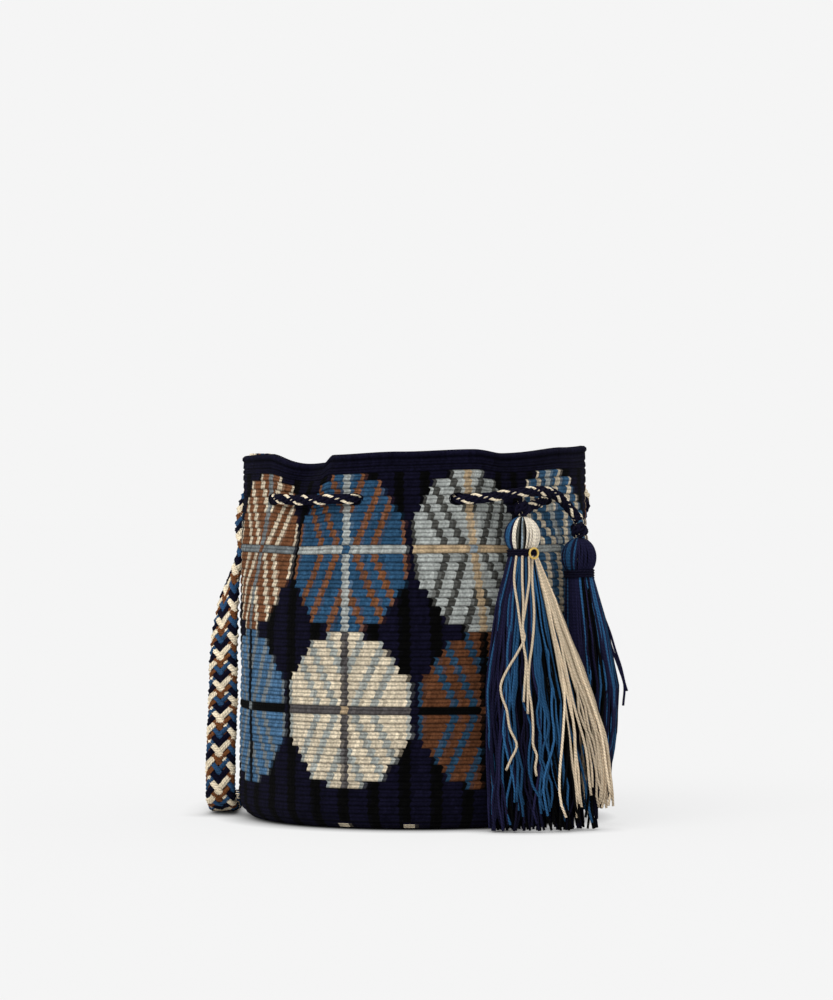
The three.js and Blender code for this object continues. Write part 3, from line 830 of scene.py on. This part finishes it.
def drawstring_route():
    """The drawstring from the side tassel in and out of every eyelet to the front tassel."""
    off = CORD_CLEARANCE + CORD_DIAMETER / 2

    def outside(angle):
        return wall_radius(angle, EYELET_HEIGHT) + RIB_DEPTH / 2 + off

    def inside(angle):
        return wall_radius(angle, EYELET_HEIGHT) - WALL - off

    def at_eyelets(angle, radius_at, below=0.0):
        return around(angle, radius_at(angle), EYELET_HEIGHT - below)

    points = [SIDE_TASSEL.knot + (KNOT_RADIUS + 3 * CLEARANCE) * UP]
    points += [beside(angle, out, EYELET_HEIGHT + above) for angle, out, above in LOOSE_END]
    for i, angle in enumerate(EYELET_ANGLES):
        goes_in = i % 2 == 0
        before, after = (outside, inside) if goes_in else (inside, outside)
        middle = (outside(angle) + inside(angle)) / 2
        through = PASSING if goes_in else -PASSING
        if i > 0:
            points.append(at_eyelets(angle + SETTLED * STEP, before))
        points.append(around(angle + PASSING * STEP, middle + through, EYELET_HEIGHT))
        points.append(around(angle - PASSING * STEP, middle - through, EYELET_HEIGHT))
        if i < len(EYELET_ANGLES) - 1:
            points.append(at_eyelets(angle - SETTLED * STEP, after))
            span = (angle - EYELET_ANGLES[i + 1]) % 360
            points += [at_eyelets(angle - span * share, after, 0.6) for share in (1 / 3, 1 / 2, 2 / 3)]
    points += [beside(angle, out, EYELET_HEIGHT + above) for angle, out, above in TIED_END]
    points.append(FRONT_TASSEL.knot + around(157, 1.1 * KNOT_RADIUS + CLEARANCE, 0))
    return respaced(catmull_rom(points, 12), 1.2)


DRAWSTRING_BRAID = Braid(31.0, 6, 2, 0.45, round_section(1.75, 1.22))
DRAWSTRING_YARN = 0.88
DRAWSTRING_COLOURS = (CREAM, CORD_NAVY, CORD_NAVY) * 2 + (CORD_NAVY,) * 6
FLECK_BULK = {CREAM: 1.05}


def drawstring(material, route):
    build = Build()
    side, up = carried_frame(route)
    add_braid(build, route, side, up, DRAWSTRING_BRAID, DRAWSTRING_YARN, DRAWSTRING_COLOURS, FLECK_BULK,
              1, 0, 6)
    return build.mesh("drawstring_braid", material)


# Strap

# The strap where it hangs and lies free, as shares of the body's radius and the eyelets' height
STRAP_HANGING = (
    (-1.046, 0.258, 0.753, 0.1, -1), (-1.073, 0.212, 0.682, 0.5, -0.86), (-1.097, 0.129, 0.534, 0.9, -0.43),
    (-1.101, 0.074, 0.356, 1, -0.1), (-1.111, 0.037, 0.203, 1, 0), (-1.113, 0.032, 0.122, 1, 0),
    (-1.112, 0.06, 0.063, 1, 0), (-1.107, 0.165, 0.031, 1, 0),
)
STRAP_LYING = (
    (-1.103, 0.3, 0, 1), (-1.097, 0.415, 0, 1), (-1.078, 0.783, 0.1, 1), (-0.986, 1.198, 0.35, 0.94),
    (-0.756, 1.585, 0.66, 0.75), (-0.387, 1.843, 0.92, 0.4), (0.046, 1.926, 1, 0),
    (0.442, 1.862, 0.9, -0.44), (0.7, 1.641, 0.42, -0.9), (0.719, 1.382, -0.26, -0.96),
)
STRAP_UP_THE_BACK = (
    (152.2, 32.9, 0.028), (153, 9.5, 0.05), (153, 4.9, 0.122), (149, 4.8, 0.356), (140, 4.8, 0.61),
    (128, 5.2, 0.839),
)


def strap_route():
    """The strap's middle line and the direction of its width, from one side of the rim to the other."""
    centres, across = [], []

    def flat_at(angle, out, z):
        centres.append(beside(angle, out, z))
        across.append(around(angle + 90, 1, 0))

    sewn = STRAP_THICKNESS / 2 - TOP_DRAWN_IN + RIB_DEPTH + CLEARANCE + RIM_ROLL
    over_cord = sewn + CORD_DIAMETER + 1.2
    for angle, out, z in (
        (-STRAP_ANGLE, sewn, RIM_TOP), (-STRAP_ANGLE, sewn, RIM_TOP - 11),
        (-STRAP_ANGLE, over_cord, EYELET_HEIGHT), (3 - STRAP_ANGLE, over_cord, EYELET_HEIGHT - 14.6),
        (9 - STRAP_ANGLE, 4.6, EYELET_HEIGHT - 31.6),
    ):
        flat_at(angle, out, z)
    for x, y, z, across_x, across_y in STRAP_HANGING:
        centres.append((x * BODY_RADIUS, y * BODY_RADIUS, z * EYELET_HEIGHT))
        across.append((across_x, across_y, 0))
    for x, y, heading_x, heading_y in STRAP_LYING:
        centres.append((x * BODY_RADIUS, y * BODY_RADIUS, FLOOR_GAP + STRAP_THICKNESS / 2))
        across.append((heading_y, -heading_x, 0))
    for angle, out, z in STRAP_UP_THE_BACK:
        flat_at(angle, out, z * EYELET_HEIGHT)
    for angle, out, z in (
        (2 + STRAP_ANGLE, over_cord - 1, EYELET_HEIGHT - 12.6), (STRAP_ANGLE, over_cord, EYELET_HEIGHT),
        (STRAP_ANGLE, sewn, RIM_TOP - 11), (STRAP_ANGLE, sewn, RIM_TOP - 1),
    ):
        flat_at(angle, out, z)
    centres, across = catmull_rom(centres, 24), catmull_rom(across, 24)
    centres, across = respaced(centres, STRAP_BRAID.pitch / 16, across)
    tangents = unit(np.gradient(centres, axis=0))
    across = unit(across - tangents * (across * tangents).sum(1, keepdims=True))
    return centres, across, np.cross(tangents, across)


STRAP_YARN = 0.72
STRAP_BRAID = Braid(42.4, 8, 2, 0.6, flat_section(STRAP_WIDTH / 2 - 1.5, STRAP_THICKNESS / 2 - 1.5))
STRAP_COLOURS = (
    (CREAM, CORD_NAVY, STRAP_BLUE, STRAP_BROWN) * 2
    + (CREAM, STRAP_BROWN, STRAP_BLUE, CORD_NAVY) * 2
)
STRAP_BULK = {CREAM: 1.14, CORD_NAVY: 1.05, STRAP_BROWN: 0.86, STRAP_BLUE: 0.9}


def strap(material, centres, across, up):
    build = Build()
    add_braid(build, centres, across, up, STRAP_BRAID, STRAP_YARN, STRAP_COLOURS, STRAP_BULK, 3, 0.2, 5)
    return build.mesh("strap_braid", material)


# Tassels

YARN_RADIUS = 0.78
SKIRT_SAMPLES = 22
HEAD_SLIMNESS = 0.93


def clear_of_bag(points, gap):
    """Moves points out to a gap from the wall of the bag."""
    angle = np.degrees(np.arctan2(points[:, 0], -points[:, 1]))
    radius = np.hypot(points[:, 0], points[:, 1])
    lowest = wall_radius(angle, points[:, 2]) + gap
    push = np.maximum(1, lowest / np.maximum(radius, 1e-6))
    points[:, :2] *= push[:, None]
    return points


class Drift:
    """How far to the right some yarns of a skirt are swept: not at one angle, fully at another."""

    def __init__(self, first, full, shares, millimetres):
        self.first, self.full = first, full
        self.shares, self.millimetres = shares, millimetres


HANGS_STRAIGHT = Drift(-200, -190, (0, 1), (0, 0))
CREAM_SWEPT_RIGHT = Drift(8, 60, (0, 0.2, 0.45, 0.7, 0.85, 1), (0, 1.5, 6.5, 11.5, 12, 10))
GATHERED_BEHIND = Drift(-200, -190, (0, 0.25, 0.45, 0.65, 1), (0, 2.0, 2.5, -2, -14))


def skirt_strand(tassel, angle, fullness, length, drift):
    """One yarn of the skirt: it leaves the neck, drifts sideways, wanders and ends near the floor."""
    share = np.linspace(0.0, length, SKIRT_SAMPLES)
    swept = np.interp(share, drift.shares, drift.millimetres) * smooth_step(angle, drift.first, drift.full)
    wander = np.zeros(SKIRT_SAMPLES)
    sway = np.zeros(SKIRT_SAMPLES)
    for waves in (0.9, 1.9, 3.7, 6.3):
        wander += rng.normal(0, 1) / waves * np.sin(2 * math.pi * (waves * share + rng.uniform()))
        sway += rng.normal(0, 1) / waves * np.sin(2 * math.pi * (waves * share + rng.uniform()))
    grown = share ** 0.7
    points = tassel.place(angle + 8 * wander * grown, share, fullness * (1 + 0.05 * sway * grown))
    points[:, 0] += swept * min(fullness, 1) ** 4
    points[:, 2] = np.maximum(points[:, 2], YARN_RADIUS + FLOOR_GAP)
    return clear_of_bag(points, YARN_RADIUS + 0.6)


def head_strand(tassel, angle):
    """One yarn over the head, from the knot down to the neck."""
    fall = np.linspace(math.radians(8), math.radians(150), 14)
    radius = HEAD_RADIUS - YARN_RADIUS
    loose = 1 + rng.uniform(-0.03, 0.03) + 0.012 * np.sin(3 * fall + rng.uniform(0, 6))
    out = HEAD_SLIMNESS * np.maximum(radius * np.sin(fall), NECK_RADIUS * 0.85 * (fall > 1.6)) * loose
    drift = 9 * np.sin(fall + 0.4) + rng.normal(0, 1.6) + 2 * np.sin(2 * fall + rng.uniform(0, 6))
    turn = around(tassel.facing + angle + drift, 1, 0)
    return tassel.head + out[:, None] * turn + (1.06 * radius * np.cos(fall))[:, None] * UP


def pick(mixture):
    """A colour out of rows of (colour, how often)."""
    shares = np.array([share for _, share in mixture], float)
    return mixture[rng.choice(len(mixture), p=shares / shares.sum())][0]


# Colours of the yarns over the heads and of the skirts' outer yarns, up to an angle round the tassel
TABLES_START = -125
FRONT_HEAD = (
    (-86, ((TASSEL_BLUE, 5), (TASSEL_NAVY, 1))), (-79, ((TASSEL_NAVY, 1),)), (-64, ((HEAD_CREAM, 1),)),
    (-57, ((CHARCOAL, 1),)), (-50, ((BLACK, 1),)), (-42, ((PALE_BLUE, 1),)), (-35, ((CHARCOAL, 1),)),
    (-28, ((BLACK, 1),)), (100, ((HEAD_CREAM, 1),)), (290, ((TASSEL_NAVY, 1),)),
)
FRONT_SKIRT = (
    (-84, ((TASSEL_NAVY, 5), (TASSEL_BLUE, 1))), (-62, ((TASSEL_NAVY, 2), (TASSEL_BLUE, 1))),
    (5, ((TASSEL_BLUE, 6), (TASSEL_NAVY, 2))), (22, ((BLACK, 4), (TASSEL_NAVY, 3), (TASSEL_BLUE, 2))),
    (118, ((SHADED_SKIRT_CREAM, 1),)), (290, ((TASSEL_NAVY, 4), (BLACK, 1))),
)
SIDE_HEAD = (
    (-95, ((TASSEL_BLUE, 1), (TASSEL_NAVY, 1))), (-86, ((TASSEL_NAVY, 1),)), (-78, ((TASSEL_BLUE, 1),)),
    (290, ((TASSEL_NAVY, 12), (TASSEL_BLUE, 1))),
)
SIDE_SKIRT = (
    (-108, ((TASSEL_BLUE, 1), (TASSEL_NAVY, 1))), (-60, ((TASSEL_NAVY, 1),)), (-50, ((TASSEL_BLUE, 1),)),
    (-18, ((TASSEL_NAVY, 5), (BLACK, 3), (TASSEL_BLUE, 1))), (70, ((TASSEL_BLUE, 3), (TASSEL_NAVY, 2))),
    (290, ((TASSEL_NAVY, 5), (BLACK, 1))),
)
INNER_SKIRT = ((CORD_NAVY, 6), (BLACK, 5), (TASSEL_BLUE, 1))
# Layers of a skirt from the outside in: fullness, and yarns as a share of the outer layer's
SKIRT_LAYERS = ((0.97, 1.0), (0.82, 0.8), (0.6, 0.45))
OUTER_YARNS = 112
# How far above the skirt's foot the yarns end, as shares of its length
ENDS_ABOVE = {SHADED_SKIRT_CREAM: 0.1, TASSEL_BLUE: 0.08}
OTHERS_END_ABOVE = 0.012
SIDE_TASSEL_ENDS_ABOVE = 0.12


def colour_at(table, angle):
    """A colour for the yarn at an angle round the tassel."""
    angle = (angle - TABLES_START) % 360 + TABLES_START
    for last, mixture in table:
        if angle < last:
            return pick(mixture)
    return pick(table[-1][1])


def hank(name, material, tassel, first, last, head_colours, skirt_colours, drift):
    """The yarns between two angles round the tassel: over its head, and down its skirt in layers."""
    build = Build()
    spread = (last - first) % 360
    head_count = round(spread / 360 * 2 * math.pi * HEAD_RADIUS / (2 * YARN_RADIUS * 0.92))
    for i in range(head_count):
        angle = first + spread * (i + 0.5) / head_count
        tint = linear(colour_at(head_colours, angle)) * (1 + 0.12 * rng.standard_normal())
        build.tube(head_strand(tassel, angle), YARN_RADIUS, tint, 6)
    for layer, (fullness, share) in enumerate(SKIRT_LAYERS):
        count = round(share * spread / 360 * OUTER_YARNS)
        for i in range(count):
            angle = first + spread * (i + rng.uniform(0.05, 0.95)) / count
            colour = pick(INNER_SKIRT) if layer else colour_at(skirt_colours, angle)
            short = ENDS_ABOVE.get(colour, OTHERS_END_ABOVE)
            short += SIDE_TASSEL_ENDS_ABOVE * (tassel is SIDE_TASSEL)
            length = 1 - np.clip(rng.normal(short, 0.025), 0.0, 0.26)
            tint = linear(colour) * np.clip(1 + 0.27 * rng.standard_normal(), 0.5, 1.4)
            strand = skirt_strand(tassel, angle, fullness * (1 + rng.uniform(-0.05, 0.04)), length, drift)
            build.tube(strand, YARN_RADIUS, tint, 5)
    return build.mesh(name, material)


# Single yarns that stray over the front of the tassels, from the neck down: across, height
STRAY_NAVY = (
    ((113, 128), (118, 115), (120.7, 106), (124.4, 95), (126.8, 85), (128.2, 80.6)),
    ((114, 120), (119, 106), (123.5, 94), (126.6, 84), (125.9, 71.7)),
)
STRAY_CREAM = (
    ((60, 163), (58.6, 149), (60.6, 134), (62.5, 119.5), (63.6, 112), (65.3, 103), (64.5, 85.5), (64, 77)),
    ((63.5, 163), (63.4, 149), (64, 134), (63.7, 119.5), (64.8, 115), (61, 107), (53.3, 94), (50.5, 86.6),
     (51.4, 79.5), (53.9, 73), (55.8, 61.5), (60, 51.5), (56.7, 44), (53.6, 37)),
    ((67.5, 163), (67.6, 149), (66.2, 139), (64.4, 127.5), (63.5, 122), (63.8, 112), (66, 98), (66.5, 70)),
    ((69.5, 163), (69.3, 149), (70.4, 129.5), (69.3, 112), (67.4, 98.5), (67, 85.5), (68.6, 75), (69.6, 61.5),
     (69.6, 51.5), (71.8, 45.5), (70.8, 39), (71.6, 33.5)),
)


def stray_yarns(name, material, tassel, routes, colour):
    """Single yarns that lie over the front of a skirt."""
    build = Build()
    for route in routes:
        path = []
        for x, z in route:
            share = (tassel.neck[2] - z) / (tassel.neck[2] - tassel.foot[2])
            skirt = tassel.place(np.linspace(-120, 60, 91), np.full(91, max(share, 0.0)), 1.0)
            nearest = skirt[np.argmin(np.abs(skirt[:, 0] - x))]
            path.append((x, nearest[1] - 1.4 * YARN_RADIUS, z))
        build.tube(respaced(catmull_rom(path, 8), 2.5), YARN_RADIUS * 0.95, linear(colour), 6)
    return build.mesh(name, material)


def neck_binding(name, material, tassel):
    """Navy yarn wound round the neck."""
    build = Build()
    turns = 3.1
    share = np.linspace(0, 1, round(turns * 30))
    radius = NECK_RADIUS + 0.3 + YARN_RADIUS
    around_neck = 2 * math.pi * turns * share
    path = np.stack([radius * np.cos(around_neck), radius * np.sin(around_neck),
                     (share - 0.5) * turns * YARN_RADIUS * 1.9], 1) + tassel.neck
    build.tube(path, YARN_RADIUS, linear(CORD_NAVY), 6)
    return build.mesh(name, material)


KNOT_BRAID = Braid(18.0, 4, 2, 0.35, round_section(1.6))


def knot(name, material, tassel):
    """An overhand knot of the drawstring's braid."""
    build = Build()
    t = np.linspace(0, 2 * math.pi, 60)
    across = 2.0 + 1.0 * np.cos(3 * t)
    path = np.stack([across * np.cos(2 * t), across * np.sin(2 * t), 2.1 * np.sin(3 * t)], 1) + tassel.knot
    path = respaced(path, 1.0)
    side, up = carried_frame(path)
    add_braid(build, path, side, up, KNOT_BRAID, 0.95, (CORD_NAVY,) * 3 + (CREAM,) + (CORD_NAVY,) * 4,
              {CREAM: 0.65}, 1, 0, 7)
    return build.mesh(name, material)


# The camera stands where the photograph was taken from
CAMERA = (0.93, -2370.0, 196.0)
camera_data = bpy.data.cameras.new("camera")
camera_data.lens = 137.6
camera_data.sensor_width = 36
camera = placed("camera", camera_data)
camera.location = [c * MM for c in CAMERA]
camera.rotation_euler = (math.radians(90), 0, 0)
bpy.context.scene.camera = camera


def keep(piece, stands_for=None):
    """Puts a piece on the body, in the place of the solid that it stands for."""
    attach(piece, "root")
    if stands_for:
        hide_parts(stands_for)
    return piece


yarn = twisted_yarn_material()

cord_route = drawstring_route()
cord = keep(drawstring(yarn, cord_route), "drawstring")

strap_centres, strap_across, strap_up = strap_route()
strap_piece = keep(strap(yarn, strap_centres, strap_across, strap_up), "strap")

for name, tassel in (("front", FRONT_TASSEL), ("side", SIDE_TASSEL)):
    keep(knot(name + "_knot_braid", yarn, tassel), name + "_tassel_knot")

keep(bag_body(crochet_material()), "crochet_body")

for tassel, prefix, head_colours, skirt_colours, hanks in (
    (FRONT_TASSEL, "front_tassel", FRONT_HEAD, FRONT_SKIRT,
     (("navy", 90, 290, HANGS_STRAIGHT), ("blue", -70, -18, HANGS_STRAIGHT),
      ("cream", -18, 90, CREAM_SWEPT_RIGHT))),
    (SIDE_TASSEL, "side_tassel", SIDE_HEAD, SIDE_SKIRT,
     (("navy", -40, 270, GATHERED_BEHIND), ("blue", -90, -40, GATHERED_BEHIND))),
):
    for colour_name, first, last, drift in hanks:
        skein = hank(prefix + "_" + colour_name + "_yarns", yarn, tassel, first, last, head_colours,
                     skirt_colours, drift)
        keep(skein, prefix + "_" + colour_name)
    keep(neck_binding(prefix + "_winding", yarn, tassel), prefix + "_binding")

for name, tassel, routes, colour, slot_name in (
    ("stray_cream_yarns", FRONT_TASSEL, STRAY_CREAM, SHADED_SKIRT_CREAM, "cream_yarn"),
    ("stray_navy_yarns", SIDE_TASSEL, STRAY_NAVY, TASSEL_NAVY, "navy_yarn"),
):
    keep(stray_yarns(name, yarn, tassel, routes, colour))

brass = brass_material()
for obj in bpy.data.objects:
    if obj.type == "MESH" and obj.name.startswith("brass_ring"):
        for slot in obj.material_slots:
            slot.material = brass

# Floor, background and light
BACKGROUND = 0.913
FLOOR_ALBEDO = 0.78
FLOOR_PLAINNESS = 0.8
CONTACT_REACH = 0.02
SKY = 0.715
SUN_ELEVATION, SUN_TURN, SUN_SPREAD = 52, -28, 50


def grey(level):
    return level, level, level, 1


def seen_directly(graph):
    """1 where a camera, mirrored or see-through ray looks, and 0 for the rays that carry light."""
    rays = graph.node("ShaderNodeLightPath").outputs
    either = graph.math("MAXIMUM", rays["Is Camera Ray"], rays["Is Transmission Ray"])
    return graph.math("MAXIMUM", either, rays["Is Glossy Ray"])


def show_mixture(graph, share, first, second, output):
    """Sends a mixture of two shaders to the output, with this share of the second."""
    mix = graph.node("ShaderNodeMixShader", {"Fac": share})
    graph.feed(mix.inputs[1], first)
    graph.feed(mix.inputs[2], second)
    graph.feed(output.inputs["Surface"], mix.outputs["Shader"])


def stage_floor():
    size = 40.0
    mesh = bpy.data.meshes.new("floor")
    corners = [(-size, -size, 0), (size, -size, 0), (size, size, 0), (-size, size, 0)]
    mesh.from_pydata(corners, [], [(0, 1, 2, 3)])
    material, graph, shader = node_material("floor")
    shader.inputs["Base Color"].default_value = grey(FLOOR_ALBEDO)
    shader.inputs["Roughness"].default_value = 1
    shader.inputs["Specular IOR Level"].default_value = 0
    contact = graph.node("ShaderNodeAmbientOcclusion", {"Distance": CONTACT_REACH, "Color": grey(BACKGROUND)})
    plain = graph.node("ShaderNodeEmission", {"Color": contact.outputs["Color"]})
    share = graph.math("MULTIPLY", seen_directly(graph), FLOOR_PLAINNESS)
    show_mixture(graph, share, shader.outputs["BSDF"], plain.outputs["Emission"],
                 graph.nodes["Material Output"])
    mesh.materials.append(material)
    placed("floor", mesh)


def stage_light():
    world = bpy.data.worlds.new("studio")
    bpy.context.scene.world = world
    world.use_nodes = True
    world.node_tree.nodes.clear()
    graph = Graph(world.node_tree)
    seen = graph.node("ShaderNodeBackground", {"Color": grey(BACKGROUND)})
    lit = graph.node("ShaderNodeBackground", {"Color": grey(SKY)})
    show_mixture(graph, seen_directly(graph), lit.outputs["Background"], seen.outputs["Background"],
                 graph.node("ShaderNodeOutputWorld"))
    sun_data = bpy.data.lights.new("sun", "SUN")
    sun_data.angle = math.radians(SUN_SPREAD)
    elevation = math.radians(SUN_ELEVATION)
    sun_data.energy = math.pi * (BACKGROUND / FLOOR_ALBEDO - SKY) / math.sin(elevation)
    sun = placed("sun", sun_data)
    sun.rotation_euler = (math.pi / 2 - elevation, 0, math.radians(SUN_TURN))


stage_floor()
stage_light()
bpy.context.scene.view_settings.view_transform = "Standard"
